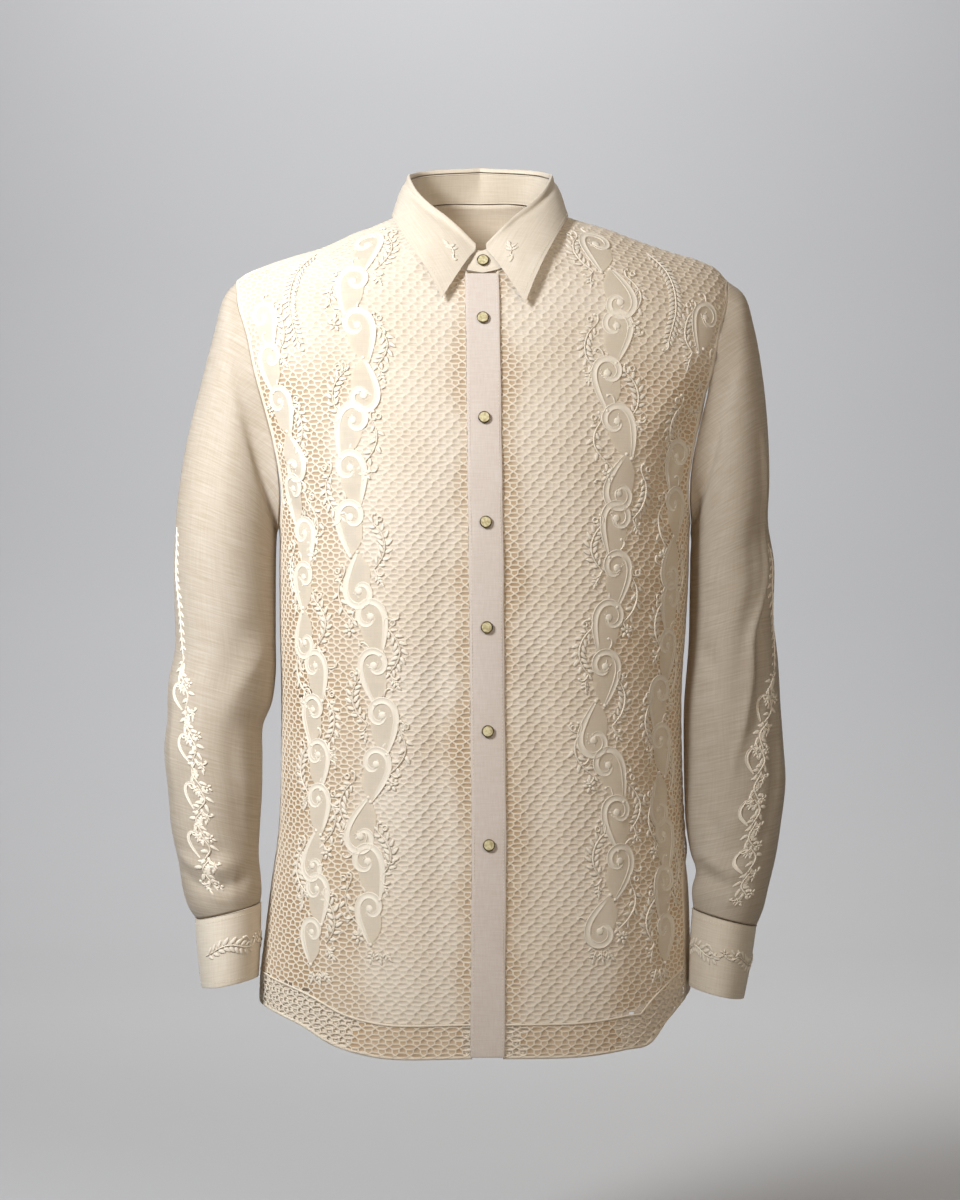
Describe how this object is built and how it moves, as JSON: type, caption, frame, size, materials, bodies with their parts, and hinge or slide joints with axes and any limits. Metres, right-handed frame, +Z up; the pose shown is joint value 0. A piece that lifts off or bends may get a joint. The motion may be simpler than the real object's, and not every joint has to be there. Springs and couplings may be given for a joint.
{
  "type": "barong tagalog shirt",
  "caption": "Long-sleeved openwork shirt with embroidered fronts, a plain buttoned band, a turned-down collar, plain back and lapped cuffs, filled out as if worn.",
  "frame": {"origin": "on the neck's line at the height of the shoulders, where the wearer holds the shirt up", "axes": "+Z up, the front faces -Y, the wearer's right is -X"},
  "size_m": [0.5755, 0.263, 0.8238],
  "materials": {
    "openwork_fronts": "embroidered openwork net of stiff pineapple-and-silk cloth",
    "plain_beige": "plain sheer cloth with slubs across",
    "plain_cream": "plain sheer cloth with slubs, doubled at the collar and cuffs",
    "buttons": "satin"
  },
  "bodies": {
    "root": {"front_right": "openwork_fronts", "front_left": "openwork_fronts", "back": "plain_beige", "under_placket": "plain_beige", "placket": "plain_beige", "collar_stand": "plain_cream", "collar_fall": "plain_cream", "sleeve_right": "plain_cream", "sleeve_left": "plain_cream", "cuff_right": "plain_cream", "cuff_left": "plain_cream", "cuff_right_button": "buttons", "cuff_left_button": "buttons", "button_collar": "buttons", "button_1": "buttons", "button_2": "buttons", "button_3": "buttons", "button_4": "buttons", "button_5": "buttons", "button_6": "buttons"}
  },
  "joints": []
}
